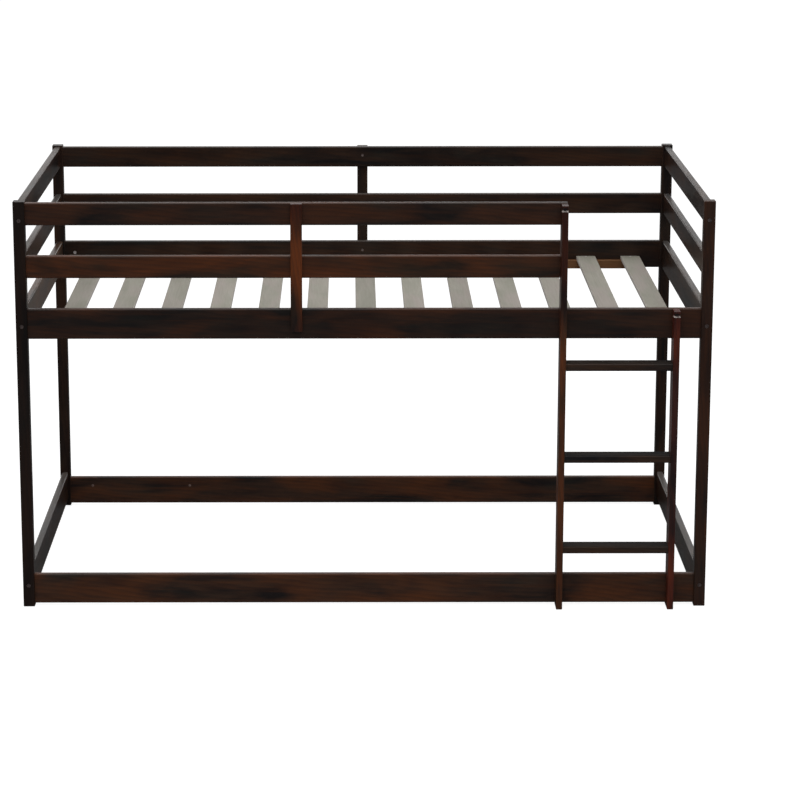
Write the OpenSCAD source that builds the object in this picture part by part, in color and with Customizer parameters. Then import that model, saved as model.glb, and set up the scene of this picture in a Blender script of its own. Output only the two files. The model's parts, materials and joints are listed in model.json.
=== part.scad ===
// Bunk bed with a front ladder: a bolted frame of square posts and flat boards,
// an upper slatted deck with guard rails, and an open frame at floor level below it.
// Millimetres, +X along the bed, +Y from the ladder side to the back, +Z up.
// The origin is on the floor, at the centre of the whole object's footprint.

/* [Overall] */
// Length over the posts
bed_l = 1990; // [1890:10:2090]
// Width over the posts, without the ladder
bed_w = 1060; // [960:10:1160]
// Height of the posts
bed_h = 1200; // [1195:1:1260]

/* [Posts and rails] */
// Side of a square post
post = 33; // [30:1:36]
// Rounding along the post's edges
post_round = 3; // [2:0.5:5]
// Thickness of every rail
rail_t = 20; // [18:1:21]
// Height of the bed-level and floor-level rails
wide_h = 88; // [80:1:92]
// Height of the guard rails
narrow_h = 65; // [60:1:70]
// Rounding along the rails' edges
rail_round = 4; // [2:0.5:6]
// How far the long rails sit in from the posts' outer faces
rail_inset = 10; // [8:1:11]
// Underside of the long rails at floor level
floor_z = 7.5; // [5:0.5:12]
// Underside of the short end rails at floor level
end_floor_z = 25.5; // [20:0.5:30]
// Underside of the bed-level rails
bed_z = 799.5; // [780:0.5:810]
// Underside of the middle guard rails
middle_z = 977; // [960:1:990]
// Underside of the top guard rails
top_z = 1130; // [1120:1:1130]

/* [Ladder] */
// Left face of the ladder, measured from the left end of the bed
ladder_x = 1553; // [1400:1:1553]
// Width over both stiles
ladder_w = 341; // [320:1:360]
// Thickness of a stile
stile_t = 18; // [16:1:20]
// How far a stile stands in front of the posts
stile_front = 33; // [30:1:40]
// Depth of a rung, front to back
rung_d = 50; // [44:1:54]
// Height of a rung
rung_h = 22; // [20:1:24]
// Underside of the lowest rung
rung_z = 168; // [150:1:180]
// Rise from one rung to the next
rung_rise = 272; // [260:1:275]

/* [Slats] */
// Width of a slat
slat_w = 61; // [50:1:70]
// Thickness of a slat
slat_t = 12; // [10:1:14]
// Left edge of the first slat, from the left end of the bed
slat_x = 112.5; // [100:0.5:115]
// Distance from one slat to the next
slat_pitch = 143.1; // [140:0.1:144]
// Gap between a slat's end and the rail
slat_gap = 2; // [1:0.5:4]
// Width of a slat ledger
ledger_t = 20; // [18:1:24]
// Height of a slat ledger
ledger_h = 26.5; // [24:0.5:30]
// Gap between a ledger's end and the post
ledger_gap = 64; // [50:1:70]

/* [Guard supports] */
// Width of a guard support
support_w = 33; // [28:1:40]
// Thickness of a guard support
support_t = 20; // [16:1:22]
// Underside of the guard supports
support_z = 824; // [820:1:830]

/* [Hardware] */
// Shank diameter of the frame bolts
bolt_d = 6; // [5:0.5:6]
// Head diameter of the frame bolts
head_d = 11; // [10:0.5:11]
// Depth from the wood's face to the top of a bolt head
head_sink = 2; // [1:0.5:3]
// Diameter of the wood screws
screw_d = 4; // [3.5:0.5:4.5]
// Distance from a rail's end to its barrel nut
nut_back = 32; // [28:1:34]
// Diameter of the barrel nuts
nut_d = 10; // [9:0.5:10]
// Diameter of the wooden dowels
dowel_d = 8; // [7:0.5:8]

/* [Hidden] */
slat_count = 13;
SLAT_NAMES = [for (i = [1 : slat_count]) str("slat_", i < 10 ? "0" : "", i)];

// Colours of the lacquered wood, the bare wood and the metal
espresso = [0.17, 0.11, 0.09];
bare_wood = [0.62, 0.58, 0.52];
ledger_wood = [0.45, 0.30, 0.17];
zinc = [0.75, 0.76, 0.78];
dark_steel = [0.20, 0.19, 0.19];
beech = [0.78, 0.62, 0.44];

// Clearance between a fastener and its bore, on the diameter
play = 0.4;
// Overshoot that lets a cut run through a face
cut = 1;
// Radius of the easing on the boards' ends
end_round = 1.5;

// Places are worked out with X from the left end and Y from the front of the posts,
// and placed() then moves everything to the object's origin
stile_d = stile_front + rail_inset + rail_t;
origin_x = bed_l / 2;
origin_y = (bed_w - rail_inset + support_t - stile_front) / 2;
inner_x = [post, bed_l - post];
inner_y = [post, bed_w - post];

// Long rails: front faces, back faces and centre lines of the front and back set
long_y = [rail_inset, bed_w - rail_inset - rail_t];
long_back = [for (y = long_y) y + rail_t];
long_axis = [for (y = long_y) y + rail_t / 2];
// Face of each long rail that looks into the bed, and the direction from it into the wood
long_inner = [long_back[0], long_y[1]];
long_outward = ["-y", "+y"];

// End rails: left faces and centre lines of the left and right set
end_x = [(post - rail_t) / 2, bed_l - (post + rail_t) / 2];
end_axis = [for (x = end_x) x + rail_t / 2];

// A level holds a rail's underside, its height, its bolt's height and its dowels' heights
NO_BOLT = 0;
bed_level = [bed_z, wide_h, bed_z + 51, [bed_z + 18, bed_z + 74]];
LONG_LEVELS = [
    [top_z, narrow_h, top_z + 48, [top_z + 31]],
    [middle_z, narrow_h, middle_z + 32, [middle_z + 12]],
    bed_level,
    [floor_z, wide_h, floor_z + 34, [floor_z + 10, floor_z + 78]]
];
END_LEVELS = [
    [top_z, narrow_h, top_z + 14.5, [top_z + 56]],
    [middle_z, narrow_h, NO_BOLT, [middle_z + 22, middle_z + 53]],
    [bed_z, wide_h, bed_z + 38, [bed_z + 7, bed_z + 63]],
    [end_floor_z, wide_h, end_floor_z + 37.5, [end_floor_z + 5, end_floor_z + 75]]
];

// Ladder: left faces and tops of the stiles, and where the front guard rails end. The tall
// stile ends a little below its rail.
stile_lower = 2.5;
stile_x = [ladder_x, ladder_x + ladder_w - stile_t];
stile_axis = [for (x = stile_x) x + stile_t / 2];
stile_top = [top_z + narrow_h - stile_lower, bed_z + wide_h];
guard_end = ladder_x + stile_t;
rung_y = (rail_inset + rail_t - stile_front - rung_d) / 2 - 0.5;
RUNG_Z = [for (i = [0 : 2]) rung_z + i * rung_rise];

// Slatted deck
slat_z = bed_z + ledger_h;
slat_len = bed_w - 2 * (rail_inset + rail_t + slat_gap);
ledger_y = [long_inner[0], long_inner[1] - ledger_t];

// Guard supports: the front one stands midway along the front guard rails
support_axis = [(post + guard_end) / 2, bed_l / 2];
support_y = [rail_inset - support_t, long_back[1]];

// Hardware
head_h = 4;
hex_key = 4 / cos(30);
bolt_tip = 12;
post_bolt_l = post + nut_back + bolt_tip - head_sink;
nut_l = 14;
nut_sink = 1;
dowel_l = 30;
dowel_in_post = 11;
dowel_slack = 0.5;
insert_d = 9;
insert_l = 13;
insert_sink = 0.5;
// An open pocket across the front of each stile takes the head of its ladder bolt
pocket_lip = 6;
pocket_h = 11.5;
pocket_depth = 24;
ladder_bolt_drop = pocket_lip + pocket_h / 2;
ladder_bolt_sink = pocket_depth - head_h;
ladder_bolt_l = stile_front + rail_inset - ladder_bolt_sink + insert_l;
screw_head_d = 2 * screw_d;
screw_head_h = screw_d - 0.8;

// A fastener is [kind, start on the wood's surface, direction into the wood, length]
function meets_post(side_x, side_y, level) =
    !(side_x == 1 && side_y == 0 && level[0] > bed_z);
// The barrel nuts of the back rails go in from behind, but for the left one at bed level
function nut_inside(end, side, level) = side == 0 || (end == 0 && level == bed_level);
function opposite(direction) = direction == "+y" ? "-y" : "+y";

END_BOLTS = [for (sx = [0, 1], sy = [0, 1], level = END_LEVELS) if (level[2] != NO_BOLT)
    ["bolt", [end_axis[sx], sy * bed_w, level[2]], sy == 0 ? "+y" : "-y", post_bolt_l]];
END_NUTS = [for (sx = [0, 1], sy = [0, 1], level = END_LEVELS) if (level[2] != NO_BOLT)
    ["nut_y", [sx == 0 ? end_x[0] : end_x[1] + rail_t,
               inner_y[sy] + (sy == 0 ? nut_back : -nut_back), level[2]],
     sx == 0 ? "+x" : "-x", nut_l]];
LONG_BOLTS = [for (sx = [0, 1], sy = [0, 1], level = LONG_LEVELS) if (meets_post(sx, sy, level))
    ["bolt", [sx * bed_l, long_axis[sy], level[2]], sx == 0 ? "+x" : "-x", post_bolt_l]];
LONG_NUTS = [for (sx = [0, 1], sy = [0, 1], level = LONG_LEVELS) if (meets_post(sx, sy, level))
    let (inside = nut_inside(sx, sy, level))
    ["nut_x", [inner_x[sx] + (sx == 0 ? nut_back : -nut_back),
               inside ? long_inner[sy] : long_back[sy], level[2]],
     inside ? long_outward[sy] : opposite(long_outward[sy]), nut_l]];
RAIL_DOWELS = concat(
    [for (sx = [0, 1], sy = [0, 1], level = END_LEVELS, z = level[3])
        ["dowel", [end_axis[sx], inner_y[sy] + (sy == 0 ? -dowel_in_post : dowel_in_post), z],
         sy == 0 ? "+y" : "-y", dowel_l]],
    [for (sx = [0, 1], sy = [0, 1], level = LONG_LEVELS) if (meets_post(sx, sy, level))
        for (z = level[3])
            ["dowel", [inner_x[sx] + (sx == 0 ? -dowel_in_post : dowel_in_post), long_axis[sy], z],
             sx == 0 ? "+x" : "-x", dowel_l]]);
SUPPORT_SCREWS = [for (sy = [0, 1], z = [top_z + 38, middle_z + 32, bed_z + 58])
    ["screw", [support_axis[sy], long_inner[sy], z], long_outward[sy], rail_t + 16]];
LADDER_BOLTS = [for (s = [0, 1])
    ["ladder_bolt", [stile_axis[s], -stile_front, stile_top[s] - ladder_bolt_drop], "+y",
     ladder_bolt_l]];
LADDER_INSERTS = [for (s = [0, 1])
    ["insert", [stile_axis[s], long_y[0], stile_top[s] - ladder_bolt_drop], "+y", insert_l]];
LADDER_SCREWS = concat(
    [for (s = [0, 1], z = [floor_z + 24, floor_z + 64, bed_z + 24, bed_z + 56])
        ["screw", [stile_axis[s], long_back[0], z], "-y", rail_t + 24]],
    [for (z = [middle_z + 20, middle_z + 45, top_z + 20])
        ["screw", [stile_axis[0], long_back[0], z], "-y", rail_t + 24]]);
RUNG_SCREWS = [for (s = [0, 1], z = RUNG_Z)
    ["screw", [s == 0 ? stile_x[0] : stile_x[1] + stile_t, rung_y + rung_d / 2, z + rung_h / 2],
     s == 0 ? "+x" : "-x", stile_t + 36]];
RUNG_DOWELS = [for (s = [0, 1], z = RUNG_Z, y = [rung_d * 0.22, rung_d * 0.78])
    ["dowel", [s == 0 ? guard_end - dowel_in_post : stile_x[1] + dowel_in_post,
               rung_y + y, z + rung_h / 2],
     s == 0 ? "+x" : "-x", dowel_l]];
LEDGER_SCREWS = [for (sy = [0, 1], i = [0 : 2 : slat_count - 2])
    ["screw", [slat_x + slat_w / 2 + slat_pitch * (i + 0.5),
               long_inner[sy] + (sy == 0 ? ledger_t : -ledger_t), bed_z + ledger_h / 2],
     long_outward[sy], ledger_t + 14]];
SLAT_SCREWS = [for (sy = [0, 1], i = [0 : slat_count - 1])
    ["screw", [slat_x + slat_w / 2 + slat_pitch * i, ledger_y[sy] + ledger_t / 2,
               slat_z + slat_t], "-z", slat_t + 20]];
ALL_FASTENERS = concat(END_BOLTS, END_NUTS, LONG_BOLTS, LONG_NUTS, RAIL_DOWELS, SUPPORT_SCREWS,
    LADDER_BOLTS, LADDER_INSERTS, LADDER_SCREWS, RUNG_SCREWS, RUNG_DOWELS, LEDGER_SCREWS,
    SLAT_SCREWS);

// Whether a fastener's bore reaches a box with corners lo and hi
bore_radius = 8;
function unit(direction) =
    direction == "+x" ? [1, 0, 0] : direction == "-x" ? [-1, 0, 0] :
    direction == "+y" ? [0, 1, 0] : direction == "-y" ? [0, -1, 0] :
    direction == "-z" ? [0, 0, -1] : [0, 0, 1];
function reach(axis, f) =
    let (a = f[1][axis], b = a + unit(f[2])[axis] * f[3], side = unit(f[2])[axis] == 0 ? bore_radius : 0)
    [min(a, b) - side, max(a, b) + side];
function touches(f, lo, hi) =
    len([for (axis = [0, 1, 2]) if (reach(axis, f)[0] < hi[axis] && reach(axis, f)[1] > lo[axis]) 1])
    == 3;

// ---- shapes ----

// A rectangle with round corners, its lower left corner at the origin
module rounded_rect(a, b, r) {
    translate([r, 0]) square([a - 2 * r, b]);
    translate([0, r]) square([a, b - 2 * r]);
    for (x = [r, a - r], y = [r, b - r])
        translate([x, y]) circle(r = r, $fn = 32);
}

// A prism of that rectangle along X, Y or Z that fills a box of the given size
module prism_x(size, r) {
    rotate([90, 0, 90]) linear_extrude(size[0]) rounded_rect(size[1], size[2], r);
}

module prism_y(size, r) {
    translate([0, size[1], 0]) rotate([90, 0, 0])
        linear_extrude(size[1]) rounded_rect(size[0], size[2], r);
}

module prism_z(size, r) {
    linear_extrude(size[2]) rounded_rect(size[0], size[1], r);
}

// A board from corner lo with its long edges rounded along one axis, drilled for every
// fastener that reaches it. A show end is eased all round as well.
module board(lo, size, along, r, eased = false) {
    difference() {
        translate(lo) intersection() {
            if (along == "x") prism_x(size, r);
            else if (along == "y") prism_y(size, r);
            else prism_z(size, r);
            if (eased && along != "x") prism_x(size, end_round);
            if (eased && along != "y") prism_y(size, end_round);
            if (eased && along != "z") prism_z(size, end_round);
        }
        for (f = ALL_FASTENERS)
            if (touches(f, lo, lo + size)) at(f) bore(f);
        children();
    }
}

// Moves a shape to the object's origin
module placed() {
    translate([-origin_x, -origin_y, 0]) children();
}

// Turns children from +Z into a fastener's direction, at its start
module at(f) {
    turn = f[2] == "+x" ? [0, 90, 0]
         : f[2] == "-x" ? [0, -90, 0]
         : f[2] == "+y" ? [-90, 0, 0]
         : f[2] == "-y" ? [90, 0, 0]
         : [180, 0, 0];
    translate(f[1]) rotate(turn) children();
}

// ---- fasteners along +Z, with their start at the origin ----

// Socket-head bolt, its head sunk by sink below the surface
module bolt(len, sink) {
    translate([0, 0, sink]) difference() {
        union() {
            cylinder(d = head_d, h = head_h, $fn = 40);
            cylinder(d = bolt_d, h = len, $fn = 40);
        }
        translate([0, 0, -cut]) cylinder(d = hex_key, h = cut + head_h * 0.6, $fn = 6);
    }
}

// Countersunk wood screw with a cross recess
module screw(len) {
    recess = [screw_d * 0.9, 0.9, 1.6];
    difference() {
        union() {
            cylinder(d1 = screw_head_d, d2 = screw_d, h = screw_head_h, $fn = 32);
            cylinder(d = screw_d, h = len - screw_d, $fn = 32);
            translate([0, 0, len - screw_d]) cylinder(d1 = screw_d, d2 = 1, h = screw_d, $fn = 32);
        }
        for (turn = [0, 90])
            rotate([0, 0, turn]) translate([-recess[0] / 2, -recess[1] / 2, -cut])
                cube([recess[0], recess[1], cut + recess[2]]);
    }
}

// Barrel nut with a slotted face, cross-bored for a bolt that lies along local X or Y
module barrel_nut(bolt_along_x) {
    rotate([0, 0, bolt_along_x ? 0 : 90]) translate([0, 0, nut_sink]) difference() {
        cylinder(d = nut_d, h = nut_l, $fn = 40);
        translate([0, 0, rail_t / 2 - nut_sink]) rotate([0, 90, 0])
            cylinder(d = bolt_d + play, h = 2 * nut_d, center = true, $fn = 40);
        translate([1.5 - nut_d / 2, -0.6, -cut]) cube([nut_d - 3, 1.2, cut + 1.2]);
    }
}

// Round dowel with chamfered ends
module dowel(len) {
    tip = 1;
    cylinder(d1 = dowel_d - 2 * tip, d2 = dowel_d, h = tip, $fn = 32);
    translate([0, 0, tip]) cylinder(d = dowel_d, h = len - 2 * tip, $fn = 32);
    translate([0, 0, len - tip]) cylinder(d1 = dowel_d, d2 = dowel_d - 2 * tip, h = tip, $fn = 32);
}

// Threaded sleeve that a ladder bolt screws into
module insert_sleeve(len) {
    translate([0, 0, insert_sink]) difference() {
        cylinder(d = insert_d, h = len, $fn = 40);
        translate([0, 0, -cut]) cylinder(d = bolt_d + play, h = len + 2 * cut, $fn = 40);
    }
}

module fastener(f) {
    if (f[0] == "bolt") bolt(f[3], head_sink);
    if (f[0] == "ladder_bolt") bolt(f[3], ladder_bolt_sink);
    if (f[0] == "nut_x") barrel_nut(true);
    if (f[0] == "nut_y") barrel_nut(false);
    if (f[0] == "dowel") dowel(f[3]);
    if (f[0] == "insert") insert_sleeve(f[3]);
    if (f[0] == "screw") screw(f[3]);
}

// The room that a fastener takes in the wood
module bore(f) {
    if (f[0] == "bolt") bolt_bore(f[3]);
    if (f[0] == "ladder_bolt") shank_bore(ladder_bolt_sink + f[3]);
    if (f[0] == "nut_x" || f[0] == "nut_y")
        translate([0, 0, -cut]) cylinder(d = nut_d + play, h = nut_l + nut_sink + 2 * cut, $fn = 40);
    if (f[0] == "dowel")
        translate([0, 0, -dowel_slack])
            cylinder(d = dowel_d + play, h = f[3] + 2 * dowel_slack, $fn = 32);
    if (f[0] == "insert")
        translate([0, 0, -cut]) cylinder(d = insert_d + play, h = f[3] + 2 * cut, $fn = 40);
    if (f[0] == "screw") screw_bore(f[3]);
}

// A frame bolt's head has a round recess; the stile's pocket takes a ladder bolt's head
module bolt_bore(len) {
    head_play = 2;
    translate([0, 0, -cut]) cylinder(d = head_d + head_play, h = cut + head_sink + head_h, $fn = 40);
    shank_bore(head_sink + len);
}

module shank_bore(len) {
    cylinder(d = bolt_d + play, h = len + 2 * cut, $fn = 40);
}

module screw_bore(len) {
    translate([0, 0, -cut]) cylinder(d = screw_head_d + play, h = cut, $fn = 32);
    cylinder(d1 = screw_head_d + play, d2 = screw_d + play, h = screw_head_h, $fn = 32);
    cylinder(d = screw_d + play, h = len + cut, $fn = 32);
}

module fasteners(list, paint) {
    color(paint) placed() for (f = list) at(f) fastener(f);
}

// ---- posts and end rails ----

module frame_post(side_x, side_y) {
    lo = [side_x * (bed_l - post), side_y * (bed_w - post), 0];
    color(espresso) placed() board(lo, [post, post, bed_h], "z", post_round, true);
}

module post_front_left() frame_post(0, 0);
module post_front_right() frame_post(1, 0);
module post_back_left() frame_post(0, 1);
module post_back_right() frame_post(1, 1);

module end_rail(side, level) {
    lo = [end_x[side], inner_y[0], level[0]];
    color(espresso) placed()
        board(lo, [rail_t, inner_y[1] - inner_y[0], level[1]], "y", rail_round);
}

module end_rail_left_top() end_rail(0, END_LEVELS[0]);
module end_rail_left_middle() end_rail(0, END_LEVELS[1]);
module end_rail_left_bed() end_rail(0, END_LEVELS[2]);
module end_rail_left_floor() end_rail(0, END_LEVELS[3]);
module end_rail_right_top() end_rail(1, END_LEVELS[0]);
module end_rail_right_middle() end_rail(1, END_LEVELS[1]);
module end_rail_right_bed() end_rail(1, END_LEVELS[2]);
module end_rail_right_floor() end_rail(1, END_LEVELS[3]);

// ---- long rails ----

module long_rail(side, level, end) {
    lo = [inner_x[0], long_y[side], level[0]];
    color(espresso) placed() board(lo, [end - inner_x[0], rail_t, level[1]], "x", rail_round)
        children();
}

// The front guard rails end in the left stile, which leaves the way in at the ladder
module guard_rail_front_top() long_rail(0, LONG_LEVELS[0], guard_end);
module guard_rail_front_middle() long_rail(0, LONG_LEVELS[1], guard_end);
module side_rail_front() long_rail(0, LONG_LEVELS[2], inner_x[1]);
module floor_rail_front() long_rail(0, LONG_LEVELS[3], inner_x[1]);
module guard_rail_back_top() long_rail(1, LONG_LEVELS[0], inner_x[1]);
module guard_rail_back_middle() long_rail(1, LONG_LEVELS[1], inner_x[1]);
module side_rail_back() long_rail(1, LONG_LEVELS[2], inner_x[1]);

// Two blind holes near the left end of the inner face
module floor_rail_back() {
    pilot_x = [post + 73, post + 393];
    pilot_rise = 60;
    pilot_d = 4;
    pilot_depth = 9;
    long_rail(1, LONG_LEVELS[3], inner_x[1])
        for (x = pilot_x)
            translate([x, long_y[1] - cut, floor_z + pilot_rise]) rotate([-90, 0, 0])
                cylinder(d = pilot_d, h = pilot_depth + cut, $fn = 24);
}

// ---- guard supports ----

module guard_support(side) {
    lo = [support_axis[side] - support_w / 2, support_y[side], support_z];
    color(espresso) placed()
        board(lo, [support_w, support_t, top_z + narrow_h - support_z], "z", rail_round, true);
}

module guard_support_front() guard_support(0);
module guard_support_back() guard_support(1);

// ---- ladder ----

// A stile stands on edge in front of the bed and is notched round the rails it crosses
module ladder_stile(side) {
    lo = [stile_x[side], -stile_front, 0];
    notch_fit = 0.2;
    through = stile_t + 2 * cut;
    color(espresso) placed()
        board(lo, [stile_t, stile_d, stile_top[side]], "z", post_round, true)
            translate([stile_x[side] - cut, 0, 0]) {
                for (level = LONG_LEVELS)
                    translate([0, long_y[0] - notch_fit, level[0] - notch_fit])
                        cube([through, rail_t + notch_fit + cut, level[1] + 2 * notch_fit]);
                translate([0, -stile_front - cut, stile_top[side] - pocket_lip - pocket_h])
                    cube([through, pocket_depth + cut, pocket_h]);
            }
}

module ladder_stile_left() ladder_stile(0);
module ladder_stile_right() ladder_stile(1);

module ladder_rung(index) {
    lo = [guard_end, rung_y, RUNG_Z[index]];
    color(espresso) placed()
        board(lo, [stile_x[1] - guard_end, rung_d, rung_h], "x", rail_round);
}

module ladder_rung_bottom() ladder_rung(0);
module ladder_rung_middle() ladder_rung(1);
module ladder_rung_top() ladder_rung(2);

// ---- slatted deck ----

module slat(index) {
    lo = [slat_x + index * slat_pitch, long_inner[0] + slat_gap, slat_z];
    color(bare_wood) placed() board(lo, [slat_w, slat_len, slat_t], "y", 2, true);
}

module slat_ledger(side) {
    lo = [post + ledger_gap, ledger_y[side], bed_z];
    size = [bed_l - 2 * (post + ledger_gap), ledger_t, ledger_h];
    color(ledger_wood) placed() board(lo, size, "x", 1.5);
}

module slat_ledger_front() slat_ledger(0);
module slat_ledger_back() slat_ledger(1);

// ---- fastener groups ----

module end_rail_bolts() fasteners(END_BOLTS, dark_steel);
module end_rail_barrel_nuts() fasteners(END_NUTS, zinc);
module long_rail_bolts() fasteners(LONG_BOLTS, dark_steel);
module long_rail_barrel_nuts() fasteners(LONG_NUTS, zinc);
module rail_dowels() fasteners(RAIL_DOWELS, beech);
module support_screws() fasteners(SUPPORT_SCREWS, dark_steel);
module ladder_bolts() fasteners(LADDER_BOLTS, dark_steel);
module ladder_inserts() fasteners(LADDER_INSERTS, zinc);
module ladder_screws() fasteners(LADDER_SCREWS, dark_steel);
module rung_screws() fasteners(RUNG_SCREWS, dark_steel);
module rung_dowels() fasteners(RUNG_DOWELS, beech);
module ledger_screws() fasteners(LEDGER_SCREWS, zinc);
module slat_screws() fasteners(SLAT_SCREWS, zinc);

post_front_left();
post_front_right();
post_back_left();
post_back_right();
end_rail_left_top();
end_rail_left_middle();
end_rail_left_bed();
end_rail_left_floor();
end_rail_right_top();
end_rail_right_middle();
end_rail_right_bed();
end_rail_right_floor();
guard_rail_front_top();
guard_rail_front_middle();
side_rail_front();
floor_rail_front();
guard_rail_back_top();
guard_rail_back_middle();
side_rail_back();
floor_rail_back();
guard_support_front();
guard_support_back();
ladder_stile_left();
ladder_stile_right();
ladder_rung_bottom();
ladder_rung_middle();
ladder_rung_top();
for (i = [0 : slat_count - 1]) slat(i);
slat_ledger_front();
slat_ledger_back();
end_rail_bolts();
end_rail_barrel_nuts();
long_rail_bolts();
long_rail_barrel_nuts();
rail_dowels();
support_screws();
ladder_bolts();
ladder_inserts();
ladder_screws();
rung_screws();
rung_dowels();
ledger_screws();
slat_screws();
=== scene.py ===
# Looks, light and camera for the bunk bed with a front ladder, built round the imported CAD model.
# Metres, in the CAD's own frame: +X along the bed, +Y from the ladder side to the back, +Z up.
import json
import math
import random

import bmesh
import bpy
from mathutils import Matrix, Vector


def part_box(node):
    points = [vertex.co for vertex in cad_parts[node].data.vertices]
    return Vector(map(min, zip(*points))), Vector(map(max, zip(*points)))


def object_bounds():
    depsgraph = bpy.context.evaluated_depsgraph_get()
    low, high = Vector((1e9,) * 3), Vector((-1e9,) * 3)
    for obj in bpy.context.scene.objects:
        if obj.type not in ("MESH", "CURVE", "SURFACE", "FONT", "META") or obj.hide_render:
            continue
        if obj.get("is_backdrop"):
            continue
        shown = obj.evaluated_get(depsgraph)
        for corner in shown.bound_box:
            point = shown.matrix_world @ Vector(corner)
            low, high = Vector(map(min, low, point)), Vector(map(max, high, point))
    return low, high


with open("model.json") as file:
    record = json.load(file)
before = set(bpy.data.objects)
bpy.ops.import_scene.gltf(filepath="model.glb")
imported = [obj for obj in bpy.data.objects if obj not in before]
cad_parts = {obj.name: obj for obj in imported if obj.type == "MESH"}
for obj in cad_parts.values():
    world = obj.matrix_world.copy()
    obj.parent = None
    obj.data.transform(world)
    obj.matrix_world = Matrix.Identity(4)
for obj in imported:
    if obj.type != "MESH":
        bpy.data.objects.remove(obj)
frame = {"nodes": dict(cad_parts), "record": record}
CAD_LO, CAD_HI = (Vector(v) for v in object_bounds())

EDGE = 0.0022  # how far wear and dirt reach from the edge of a board
STEEL_EDGE = EDGE * 0.2
WOOD_RELIEF = 0.00016  # depth of the bumps
STEEL_RELIEF = 0.00004
FACING = (0.6, 0.9)  # how squarely a face looks along an axis: not counted below, fully counted above
LEDGE_REACH = 0.0012  # how far from its height a ledge is still looked for


# ---- node helpers ----

class Graph:
    """A material's node tree, with short calls to add and join nodes."""

    def __init__(self, name):
        self.material = bpy.data.materials.new(name)
        self.material.use_nodes = True
        self.tree = self.material.node_tree
        self.tree.nodes.clear()
        self.output = self.add("ShaderNodeOutputMaterial")

    def add(self, kind, inputs=None, **settings):
        node = self.tree.nodes.new(kind)
        for key, value in settings.items():
            setattr(node, key, value)
        for key, value in (inputs or {}).items():
            self.put(node.inputs[key], value)
        return node

    def put(self, socket, value):
        """Join another node's output to a socket, or set the socket to a constant."""
        if isinstance(value, bpy.types.NodeSocket):
            self.tree.links.new(value, socket)
        else:
            socket.default_value = value

    def math(self, operation, a, b=0.0):
        return self.add("ShaderNodeMath", {0: a, 1: b}, operation=operation).outputs[0]

    def span(self, value, lo, hi, to_lo=0.0, to_hi=1.0):
        """The value from lo to hi brought to to_lo to to_hi, and held at those ends."""
        node = self.add("ShaderNodeMapRange", {"Value": value, "From Min": lo, "From Max": hi,
                                               "To Min": to_lo, "To Max": to_hi})
        node.clamp = True
        return node.outputs[0]

    def mix(self, factor, a, b, blend="MIX"):
        """Two colours mixed. Sockets 6, 7 and 2 are the colour ones of this node."""
        node = self.add("ShaderNodeMix", data_type="RGBA", blend_type=blend)
        self.put(node.inputs[0], factor)
        self.put(node.inputs[6], a)
        self.put(node.inputs[7], b)
        return node.outputs[2]

    def times(self, a, b):
        return self.mix(1.0, a, b, "MULTIPLY")

    def parts(self, kind):
        """X, Y and Z of a texture coordinate, such as Object or Normal."""
        place = self.add("ShaderNodeTexCoord").outputs[kind]
        return self.add("ShaderNodeSeparateXYZ", {0: place}).outputs

    def noise(self, vector, scale, detail=4.0, roughness=0.55, distortion=0.0):
        node = self.add("ShaderNodeTexNoise", {"Vector": vector, "Scale": scale, "Detail": detail,
                                               "Roughness": roughness, "Distortion": distortion})
        return node.outputs["Fac"]

    def stretched(self, vector, scale):
        return self.add("ShaderNodeMapping", {"Vector": vector, "Scale": scale}).outputs[0]

    def finish(self, **inputs):
        """Close the tree with a Principled shader. Underscores stand for spaces in its sockets' names."""
        shader = self.add("ShaderNodeBsdfPrincipled")
        for key, value in inputs.items():
            self.put(shader.inputs[key.replace("_", " ")], value)
        self.tree.links.new(shader.outputs[0], self.output.inputs["Surface"])
        return self.material


def grain_vector(g, axis, rng):
    """Object coordinates with the grain turned to X and moved to this board's own place in the tree."""
    parts = g.parts("Object")
    order = [axis] + [a for a in range(3) if a != axis]
    moved = [g.math("ADD", parts[a], rng.uniform(-9, 9)) for a in order]
    return g.add("ShaderNodeCombineXYZ", {0: moved[0], 1: moved[1], 2: moved[2]}).outputs[0]


def edge_mask(g, radius):
    """1 along the eased edges and 0 on the flats."""
    flat = g.add("ShaderNodeNewGeometry").outputs["Normal"]
    rounded = g.add("ShaderNodeBevel", {"Radius": radius}, samples=4).outputs[0]
    dot = g.add("ShaderNodeVectorMath", {0: flat, 1: rounded}, operation="DOT_PRODUCT").outputs["Value"]
    return g.span(dot, 0.999, 0.93)


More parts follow.
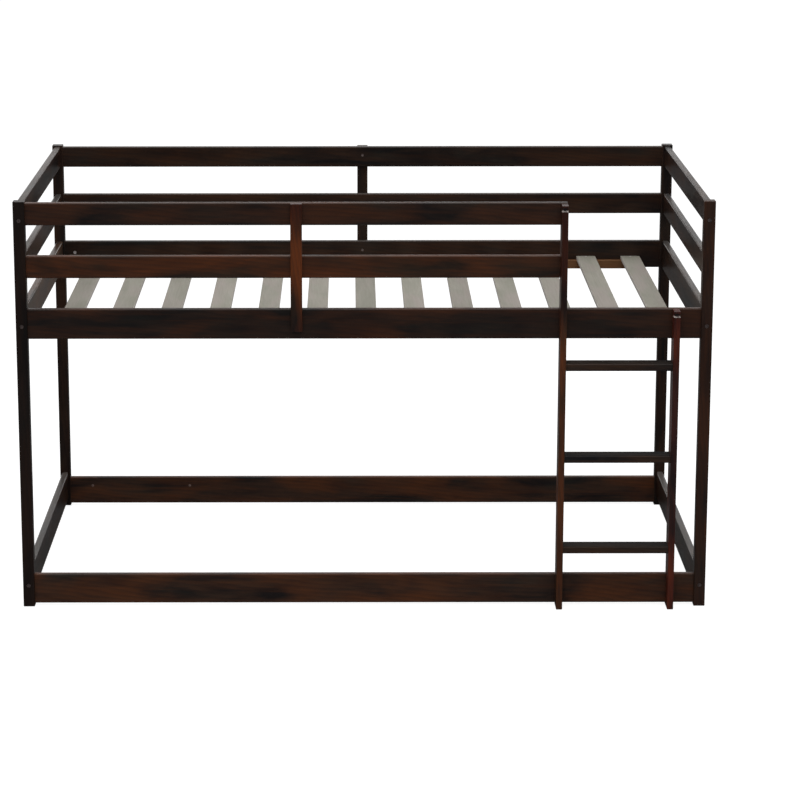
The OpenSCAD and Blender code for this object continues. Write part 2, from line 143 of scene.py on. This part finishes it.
def wood_layers(g, axis, rng, ring_pitch):
    """The layers of real timber: growth rings that run into cathedrals, streaks, pores and blotches."""
    v = grain_vector(g, axis, rng)
    drift = g.noise(g.stretched(v, (1.1, 4.0, 4.0)), 1.0, 3.0)
    shift = g.add("ShaderNodeCombineXYZ", {0: 0.0, 1: g.math("MULTIPLY", drift, 0.050),
                                           2: g.math("MULTIPLY", drift, 0.035)}).outputs[0]
    warped = g.add("ShaderNodeVectorMath", {0: v, 1: shift}, operation="ADD").outputs[0]
    rings = g.add("ShaderNodeTexWave", {"Vector": g.stretched(warped, (0.10, 1.0, 1.0)),
                                        "Scale": 0.31 / ring_pitch, "Distortion": 2.2, "Detail": 3.0,
                                        "Detail Scale": 1.4, "Detail Roughness": 0.6},
                  wave_type="BANDS", bands_direction="DIAGONAL", wave_profile="SAW").outputs["Fac"]
    return {
        "rings": rings,
        "streak": g.noise(g.stretched(v, (1.4, 70.0, 70.0)), 1.0, 4.0, 0.55),
        "pores": g.noise(g.stretched(v, (26.0, 900.0, 900.0)), 1.0, 3.0, 0.65),
        "blotch": g.noise(g.stretched(v, (4.5, 22.0, 22.0)), 1.0, 4.0, 0.55, 0.5),
        "cloud": g.noise(g.stretched(v, (3.4, 13.0, 13.0)), 1.0, 3.0, 0.5, 0.5),
        "veil": g.noise(g.stretched(v, (4.6, 17.0, 17.0)), 1.0, 2.0, 0.5, 0.6),
        "fine": g.noise(g.stretched(v, (7.0, 330.0, 330.0)), 1.0, 4.0, 0.6),
    }


def bumped(g, height, distance, strength):
    inputs = {"Height": height, "Distance": distance, "Strength": strength}
    return g.add("ShaderNodeBump", inputs).outputs[0]


# ---- masks ----

def outside(g, stretch, fade):
    """0 between the two heights of a stretch, rising to 1 over the fade past each of them."""
    z = g.parts("Object")[2]
    lo, hi = stretch
    return g.math("MAXIMUM", g.span(z, lo, lo - fade), g.span(z, hi, hi + fade))


def near(g, place, radius):
    """1 round a line along Y through the place, fading to 0 at the radius."""
    parts = g.parts("Object")
    dx, dz = (g.math("SUBTRACT", parts[a], place[a]) for a in (0, 2))
    distance = g.math("SQRT", g.math("ADD", g.math("MULTIPLY", dx, dx), g.math("MULTIPLY", dz, dz)))
    return g.span(distance, radius, radius * 0.5)


def faces_up(g):
    """1 on the faces that look up."""
    return g.span(g.parts("Normal")[2], *FACING)


def ledge_mask(g, height):
    """1 on the faces that look up at one height."""
    off = g.math("ABSOLUTE", g.math("SUBTRACT", g.parts("Object")[2], height))
    return g.math("MULTIPLY", g.span(off, LEDGE_REACH, LEDGE_REACH * 0.5), faces_up(g))


def x_facing_mask(g):
    """1 on the narrow faces that look along X, the slats' sides that are painted paler as painted light, and
    0 on the wide faces.
    """
    return g.span(g.math("ABSOLUTE", g.parts("Normal")[0]), *FACING)


# ---- materials ----

def espresso(node, axis, look, rng, stretch=None, matte_and_shaded_tops=False, holes=(), ledge=None):
    """Dark stain under satin lacquer. A look is one of the STAINS, shaded a little; upward faces may take a
    painted highlight. A board with matte and shaded tops has rougher upward faces, darkened as painted
    shade. Past the ends of a stretch the board is darker. Holes show raw wood, and a ledge at one height
    takes a near-white painted highlight."""
    warmth, tint, sheen, top_highlight = look
    g = Graph("espresso_" + node)
    w = wood_layers(g, axis, rng, STAINED_RING_PITCH)

    def stained(*tone):
        return tuple(t * k for t, k in zip(tone, tint)) + (1,)

    black = stained(0.0110, 0.0078, 0.0070)
    brown = stained(0.0450, 0.0215, 0.0122)
    red = stained(0.068 + 0.052 * warmth, 0.0260 + 0.0080 * warmth, 0.0100)
    moss = stained(0.0270, 0.0250, 0.0180)
    body = g.mix(g.span(w["blotch"], 0.36, 0.63), black, brown)
    body = g.mix(g.span(w["veil"], 0.50, 0.70, 0.0, 0.60 - 0.30 * warmth), body, moss)
    glow = g.math("MULTIPLY", g.span(w["cloud"], 0.43, 0.66), 0.45 + 0.50 * warmth)
    body = g.mix(glow, body, red)
    body = g.mix(g.span(w["streak"], 0.50, 0.70, 0.0, 0.36), body, red)
    body = g.mix(g.span(w["rings"], 0.30, 1.0, 0.0, 0.30), body, black)
    body = g.mix(g.span(w["fine"], 0.54, 0.74, 0.0, 0.32), body, black)
    worn = g.math("MULTIPLY", edge_mask(g, EDGE), g.span(w["streak"], 0.35, 0.65, 0.15, 0.60))
    body = g.mix(worn, body, stained(0.082, 0.037, 0.019))
    if stretch:
        body = g.mix(outside(g, stretch, SHADE_FADE), body, g.times(body, SHADE_TONE))
    # painted highlight: the upward faces are lightened towards pale grey, clouded by noise
    if top_highlight:
        top_light_mask = g.math("MULTIPLY", faces_up(g), g.span(w["cloud"], 0.3, 0.7, 0.6 * top_highlight, 1.4 * top_highlight))
        body = g.mix(top_light_mask, body, TOP_PAINTED_HIGHLIGHT)
    for hole in holes:
        body = g.mix(near(g, hole, RAW_RIM), body, RAW_WOOD)
    # painted highlight: the pocket floor at the ledge height is painted near white
    if ledge is not None:
        body = g.mix(ledge_mask(g, ledge), body, LEDGE_PAINTED_HIGHLIGHT)
    rough = g.math("ADD", g.span(w["blotch"], 0.3, 0.7, 0.27, 0.37), g.span(w["pores"], 0.4, 0.7, 0.0, 0.08))
    # painted shade darkens the upward faces of the rungs; the added roughness is real wear
    if matte_and_shaded_tops:
        body = g.mix(faces_up(g), body, g.times(body, TOP_PAINTED_SHADE))
        rough = g.math("ADD", rough, g.math("MULTIPLY", faces_up(g), TREAD_ROUGH))
    relief = g.math("ADD", g.math("MULTIPLY", w["pores"], -0.5), g.math("MULTIPLY", w["fine"], 0.6))
    return g.finish(Base_Color=body, Roughness=rough, Normal=bumped(g, relief, WOOD_RELIEF, 0.45),
                    Specular_IOR_Level=0.42 * sheen, Coat_Weight=0.10 * sheen, Coat_Roughness=0.22)


def bare(node, axis, tones, ring_pitch, rough_lo, rng, painted_side=None):
    """Wood without lacquer: clouded tones, a few growth rings, and handling dirt on the edges. The faces
    that look along X are painted paler with the given side tone, if there is one: painted light on the
    sides."""
    g = Graph("bare_" + node)
    w = wood_layers(g, axis, rng, ring_pitch)
    pale, mid, late, rosy = tones
    body = g.mix(g.span(w["blotch"], 0.34, 0.66), pale, mid)
    body = g.mix(g.span(w["cloud"], 0.46, 0.64, 0.0, 0.75), body, rosy)
    body = g.mix(g.span(w["rings"], 0.40, 1.0, 0.0, 0.10), body, late)
    body = g.mix(g.span(w["fine"], 0.50, 0.74, 0.0, 0.22), body, late)
    # painted light: the faces that look along X are painted paler, as if lit from the side
    if painted_side:
        body = g.mix(x_facing_mask(g), body, painted_side)
    dirt = g.math("MULTIPLY", edge_mask(g, EDGE), 0.22)
    body = g.mix(dirt, body, late)
    rough = g.span(w["fine"], 0.3, 0.7, rough_lo, rough_lo + 0.16)
    return g.finish(Base_Color=body, Roughness=rough, Normal=bumped(g, w["fine"], WOOD_RELIEF, 0.4),
                    Specular_IOR_Level=0.30)


def steel(name, tones, metallic, rough_lo, rng):
    """Plated or blackened steel with turning marks, stains and rubbed edges."""
    g = Graph(name)
    v = grain_vector(g, 0, rng)
    stain = g.noise(g.stretched(v, (160.0, 160.0, 160.0)), 1.0, 5.0)
    marks = g.noise(g.stretched(v, (500.0, 2600.0, 2600.0)), 1.0, 2.0)
    dull, clean, rubbed = tones
    body = g.mix(g.span(stain, 0.35, 0.65), dull, clean)
    body = g.mix(g.math("MULTIPLY", edge_mask(g, STEEL_EDGE), 0.8), body, rubbed)
    rough = g.math("ADD", g.span(stain, 0.3, 0.7, rough_lo, rough_lo + 0.14),
                   g.span(marks, 0.3, 0.7, 0.0, 0.08))
    return g.finish(Base_Color=body, Metallic=metallic, Roughness=rough,
                    Normal=bumped(g, marks, STEEL_RELIEF, 0.5))


def floor_material(rng):
    """Pale paper that the camera sees white, and that throws little light back up at the lacquer."""
    g = Graph("studio_floor")
    cloud = g.noise(grain_vector(g, 0, rng), 0.8, 3.0)
    seen_tone = g.mix(g.span(cloud, 0.3, 0.7), *FLOOR_TONES)
    seen = g.add("ShaderNodeBsdfDiffuse", {"Color": seen_tone}).outputs[0]
    glow = g.add("ShaderNodeEmission", {"Color": WHITE, "Strength": FLOOR_GLOW}).outputs[0]
    seen = g.add("ShaderNodeAddShader", {0: seen, 1: glow}).outputs[0]
    unseen = g.add("ShaderNodeBsdfDiffuse", {"Color": FLOOR_UNSEEN}).outputs[0]
    camera_ray = g.add("ShaderNodeLightPath").outputs["Is Camera Ray"]
    both = g.add("ShaderNodeMixShader", {0: camera_ray, 1: unseen, 2: seen}).outputs[0]
    g.tree.links.new(both, g.output.inputs["Surface"])
    return g.material


# ---- dress the CAD nodes ----

# Tones of bare wood are pale, mid, late growth and rosy. Tones of steel are dull, clean and rubbed.
SLAT_TONES = ((0.41, 0.39, 0.335, 1), (0.335, 0.325, 0.270, 1), (0.27, 0.235, 0.19, 1),
              (0.42, 0.370, 0.338, 1))
# painted light: the pale tone painted on the slats' side faces, which look along X, to make them look lit
SLAT_SIDE_PAINTED_LIGHT = (0.72, 0.67, 0.62, 1)
LEDGER_TONES = ((0.22, 0.100, 0.040, 1), (0.15, 0.067, 0.029, 1), (0.080, 0.034, 0.015, 1),
                (0.18, 0.092, 0.034, 1))
DOWEL_TONES = ((0.52, 0.36, 0.20, 1), (0.44, 0.29, 0.15, 1), (0.30, 0.18, 0.09, 1), (0.50, 0.33, 0.19, 1))
DARK_TONES = ((0.10, 0.075, 0.072, 1), (0.24, 0.185, 0.18, 1), (0.62, 0.54, 0.52, 1))
BLACK_TONES = ((0.030, 0.024, 0.024, 1), (0.060, 0.050, 0.050, 1), (0.15, 0.13, 0.13, 1))
ZINC_TONES = ((0.74, 0.68, 0.66, 1), (0.88, 0.83, 0.81, 1), (0.95, 0.92, 0.91, 1))
RAW_WOOD = (0.36, 0.25, 0.22, 1)  # in and round the pilot holes
RAW_RIM = 0.0052
LEDGE_PAINTED_HIGHLIGHT = (0.78, 0.70, 0.66, 1)  # painted highlight: the floors of the stiles' pockets are painted near white, far paler than raw wood
POCKET_FLOOR = 0.0175  # from a stile's top down to the floor of its bolt pocket
PILOT_ALONG = (0.073, 0.393)  # from the left end of the back floor rail to its pilot holes
PILOT_UP = 0.060
STAINED_RING_PITCH = 0.0062
BOARD_SHADES = (0.94, 1.06)  # how far stained boards differ in depth of colour
SLAT_SHADES = (0.93, 1.06)
FIRST_SEED = 11

# How far the red of the wood shows through, the tint laid over it, the sheen, and how much painted highlight
# the upward faces take.
STAINS = {
    "chestnut": (1.0, (2.2, 1.9, 1.4), 0.9, 0.0),
    "wine": (0.9, (1.8, 1.1, 1.4), 0.85, 0.0),
    "russet": (0.9, (1.4, 1.3, 1.1), 1.0, 0.0),
    "walnut": (0.6, (1.0, 1.0, 1.1), 0.9, 0.0),
    "umber": (0.3, (0.8, 0.9, 1.05), 0.55, 0.14),
    "ebony": (0.1, (0.5, 0.5, 0.6), 0.8, 0.0),
    "scuffed": (0.6, (1.9, 2.0, 2.2), 0.55, 0.0),
    "tread": (0.3, (1.4, 1.9, 2.5), 0.5, 0.0),
    # painted reflection: this tint lightens the whole board about threefold to stand in for a grazing
    # reflection
    "painted_glare": (0.1, (2.6, 3.0, 3.0), 1.4, 0.0),
}
STAINED = (  # the start of a board's name and its stain; the first that fits counts
    ("ladder_stile_left", "chestnut"),
    ("ladder_stile_right", "wine"),
    ("ladder_rung", "tread"),
    ("guard_support_front", "chestnut"),
    ("post_front_left", "ebony"),
    ("post_front_right", "walnut"),
    # painted reflection: the left bed end rail is painted pale grey in place of a grazing reflection
    ("end_rail_left_bed", "painted_glare"),
    ("floor_rail", "scuffed"),
    ("guard_rail_front_middle", "russet"),
    ("guard_rail_front", "walnut"),
    ("side_rail_front", "walnut"),
    ("", "umber"),
)
SHADE_TONE = (0.42, 0.36, 0.60, 1)  # what the darker ends of an uneven board are multiplied by
SHADE_FADE = 0.12  # height over which they darken
SUPPORT_STRETCH = (0.30, 0.65)  # the evenly stained part of the front support, as shares of its height
FAR_BELOW = 1.0  # starts a stretch so far under a board that its foot isn't darker
TOP_PAINTED_SHADE = (0.38, 0.38, 0.38, 1)  # painted shade: what the upward faces of a board with matte and shaded tops are multiplied by
TREAD_ROUGH = 0.5  # and what their roughness gains
TOP_PAINTED_HIGHLIGHT = (0.50, 0.49, 0.47, 1)  # painted highlight: the pale grey mixed into upward faces


def dress(obj, material):
    obj.data.materials.clear()
    obj.data.materials.append(material)


def long_axis(node):
    lo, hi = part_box(node)
    return max(range(3), key=lambda a: hi[a] - lo[a])


def stain_of(node):
    return STAINS[next(stain for start, stain in STAINED if node.startswith(start))]


def even_stretch(node):
    """The heights between which an unevenly stained board keeps its full colour, or None for an even one."""
    low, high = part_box(node)
    if node.startswith("ladder_stile"):
        return low[2] - FAR_BELOW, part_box("side_rail_front")[0][2]
    if node == "guard_support_front":
        return tuple(low[2] + share * (high[2] - low[2]) for share in SUPPORT_STRETCH)
    return None


def pilot_holes():
    """The two blind holes near the left end of the back floor rail."""
    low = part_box("floor_rail_back")[0]
    return [Vector((low[0] + along, low[1], low[2] + PILOT_UP)) for along in PILOT_ALONG]


def material_for(node, kind, rng):
    if kind == "espresso_wood":
        warmth, tint, sheen, top_highlight = stain_of(node)
        shade = rng.uniform(*BOARD_SHADES)
        look = warmth, [t * shade for t in tint], sheen, top_highlight
        holes = pilot_holes() if node == "floor_rail_back" else ()
        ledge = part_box(node)[1][2] - POCKET_FLOOR if node.startswith("ladder_stile") else None
        matte_and_shaded_tops = node.startswith("ladder_rung")
        return espresso(node, long_axis(node), look, rng, even_stretch(node), matte_and_shaded_tops, holes, ledge)
    if kind == "slat_wood":
        shade = rng.uniform(*SLAT_SHADES)
        tones = [tuple(c * shade for c in t[:3]) + (1,) for t in SLAT_TONES]
        return bare(node, long_axis(node), tones, ring_pitch=0.0065, rough_lo=0.50, rng=rng, painted_side=SLAT_SIDE_PAINTED_LIGHT)
    if kind == "ledger_wood":
        return bare(node, long_axis(node), LEDGER_TONES, ring_pitch=0.0050, rough_lo=0.44, rng=rng)
    if kind == "dowel_wood":
        return bare(node, 0, DOWEL_TONES, ring_pitch=0.0030, rough_lo=0.50, rng=rng)
    if kind == "dark_steel":
        tones = BLACK_TONES if node == "ladder_bolts" else DARK_TONES
        return steel("dark_" + node, tones, metallic=0.6, rough_lo=0.34, rng=rng)
    return steel("zinc_" + node, ZINC_TONES, metallic=0.2, rough_lo=0.30, rng=rng)


slots = {row["node"]: row["material_slot"] for row in frame["record"]["subparts"]}
for seed, node in enumerate(sorted(frame["nodes"]), FIRST_SEED):
    dress(frame["nodes"][node], material_for(node, slots[node], random.Random(seed)))


# ---- floor, light and camera ----

WHITE = (1, 1, 1, 1)
FLOOR_SIDE = 60.0
FLOOR_GAP = 0.0005  # between the feet and the floor, so that no faces share a plane
FLOOR_SEED = 5
FLOOR_TONES = ((0.42, 0.42, 0.42, 1), (0.45, 0.45, 0.45, 1))
FLOOR_UNSEEN = (0.20, 0.20, 0.20, 1)  # what the floor is to everything but the camera
FLOOR_GLOW = 0.90  # what the camera sees added to the floor
BACKDROP_GLOW = 1.16  # the background that the camera sees
HORIZON_GLOW = 0.10  # the dim room that reflections see, at its horizon and overhead
OVERHEAD_GLOW = 0.45


def make_floor():
    mesh = bpy.data.meshes.new("studio_floor")
    bm = bmesh.new()
    bmesh.ops.create_grid(bm, x_segments=8, y_segments=8, size=FLOOR_SIDE / 2)
    bm.to_mesh(mesh)
    bm.free()
    floor = bpy.data.objects.new("studio_floor", mesh)
    floor.location = (0, 0, CAD_LO.z - FLOOR_GAP)
    bpy.context.scene.collection.objects.link(floor)
    dress(floor, floor_material(random.Random(FLOOR_SEED)))
    floor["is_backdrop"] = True


def softbox(name, place, target, size_x, size_y, radiance):
    """A soft white panel of the given radiance, which the camera doesn't see."""
    light = bpy.data.lights.new(name, "AREA")
    light.shape = "RECTANGLE"
    light.size, light.size_y = size_x, size_y
    light.energy = radiance * math.pi * size_x * size_y
    obj = bpy.data.objects.new(name, light)
    obj.location = place
    obj.rotation_euler = (Vector(target) - Vector(place)).to_track_quat("-Z", "Y").to_euler()
    obj.visible_camera = False
    bpy.context.scene.collection.objects.link(obj)


def make_world(low, high):
    """White to the camera; to everything else a dim room that is lighter overhead."""
    world = bpy.data.worlds.new("studio")
    world.use_nodes = True
    tree = world.node_tree
    tree.nodes.clear()
    up = tree.nodes.new("ShaderNodeSeparateXYZ")
    tree.links.new(tree.nodes.new("ShaderNodeTexCoord").outputs["Generated"], up.inputs[0])
    level = tree.nodes.new("ShaderNodeMapRange")
    tree.links.new(up.outputs["Z"], level.inputs["Value"])
    for key, value in (("From Min", 0.0), ("From Max", 1.0), ("To Min", low), ("To Max", high)):
        level.inputs[key].default_value = value
    room = tree.nodes.new("ShaderNodeBackground")
    tree.links.new(level.outputs[0], room.inputs["Strength"])
    white = tree.nodes.new("ShaderNodeBackground")
    mixer = tree.nodes.new("ShaderNodeMixShader")
    for background in (room, white):
        background.inputs["Color"].default_value = WHITE
    white.inputs["Strength"].default_value = BACKDROP_GLOW
    tree.links.new(tree.nodes.new("ShaderNodeLightPath").outputs["Is Camera Ray"], mixer.inputs[0])
    tree.links.new(room.outputs[0], mixer.inputs[1])
    tree.links.new(white.outputs[0], mixer.inputs[2])
    tree.links.new(mixer.outputs[0], tree.nodes.new("ShaderNodeOutputWorld").inputs["Surface"])
    bpy.context.scene.world = world


CAMERA_PLACE = Vector((-0.0404, -7.8805, 2.5127))
CAMERA_PITCH = 0.21363  # downwards, radians
CAMERA_ROLL = 0.00104
SENSOR = 36.0  # millimetres, as is the focal length
FOCAL = 119.0
LENS_SHIFT = (0.0625, -0.125)  # in widths of the picture
CLIP_END = 200.0


def make_camera():
    right = Vector((1, 0, 0))
    forward = Vector((0, math.cos(CAMERA_PITCH), -math.sin(CAMERA_PITCH)))
    up = right.cross(forward)
    turned_right = math.cos(CAMERA_ROLL) * right - math.sin(CAMERA_ROLL) * up
    turned_up = math.cos(CAMERA_ROLL) * up + math.sin(CAMERA_ROLL) * right
    turn = Matrix((turned_right, turned_up, -forward)).transposed()
    camera = bpy.data.cameras.new("camera")
    camera.sensor_width = SENSOR
    camera.lens = FOCAL
    camera.shift_x, camera.shift_y = LENS_SHIFT
    camera.clip_end = CLIP_END
    obj = bpy.data.objects.new("camera", camera)
    obj.matrix_world = Matrix.Translation(CAMERA_PLACE) @ turn.to_4x4()
    bpy.context.scene.collection.objects.link(obj)
    bpy.context.scene.camera = obj


make_floor()
make_world(HORIZON_GLOW, OVERHEAD_GLOW)
middle = (CAD_LO + CAD_HI) / 2
softbox("top_panel", (middle.x, middle.y - 0.5, 4.4), middle,
        size_x=5.0, size_y=4.0, radiance=1.5)
softbox("back_panel", (middle.x, middle.y + 14.0, 1.9), (middle.x, middle.y, 1.9),
        size_x=24.0, size_y=3.8, radiance=1.1)
softbox("right_panel", (middle.x + 5.5, middle.y + 0.6, 2.8), middle,
        size_x=3.0, size_y=2.0, radiance=2.4)
softbox("front_panel", (middle.x, middle.y - 7.5, 4.6), middle,
        size_x=6.0, size_y=2.4, radiance=1.3)
bpy.context.scene.view_settings.view_transform = "Standard"
make_camera()
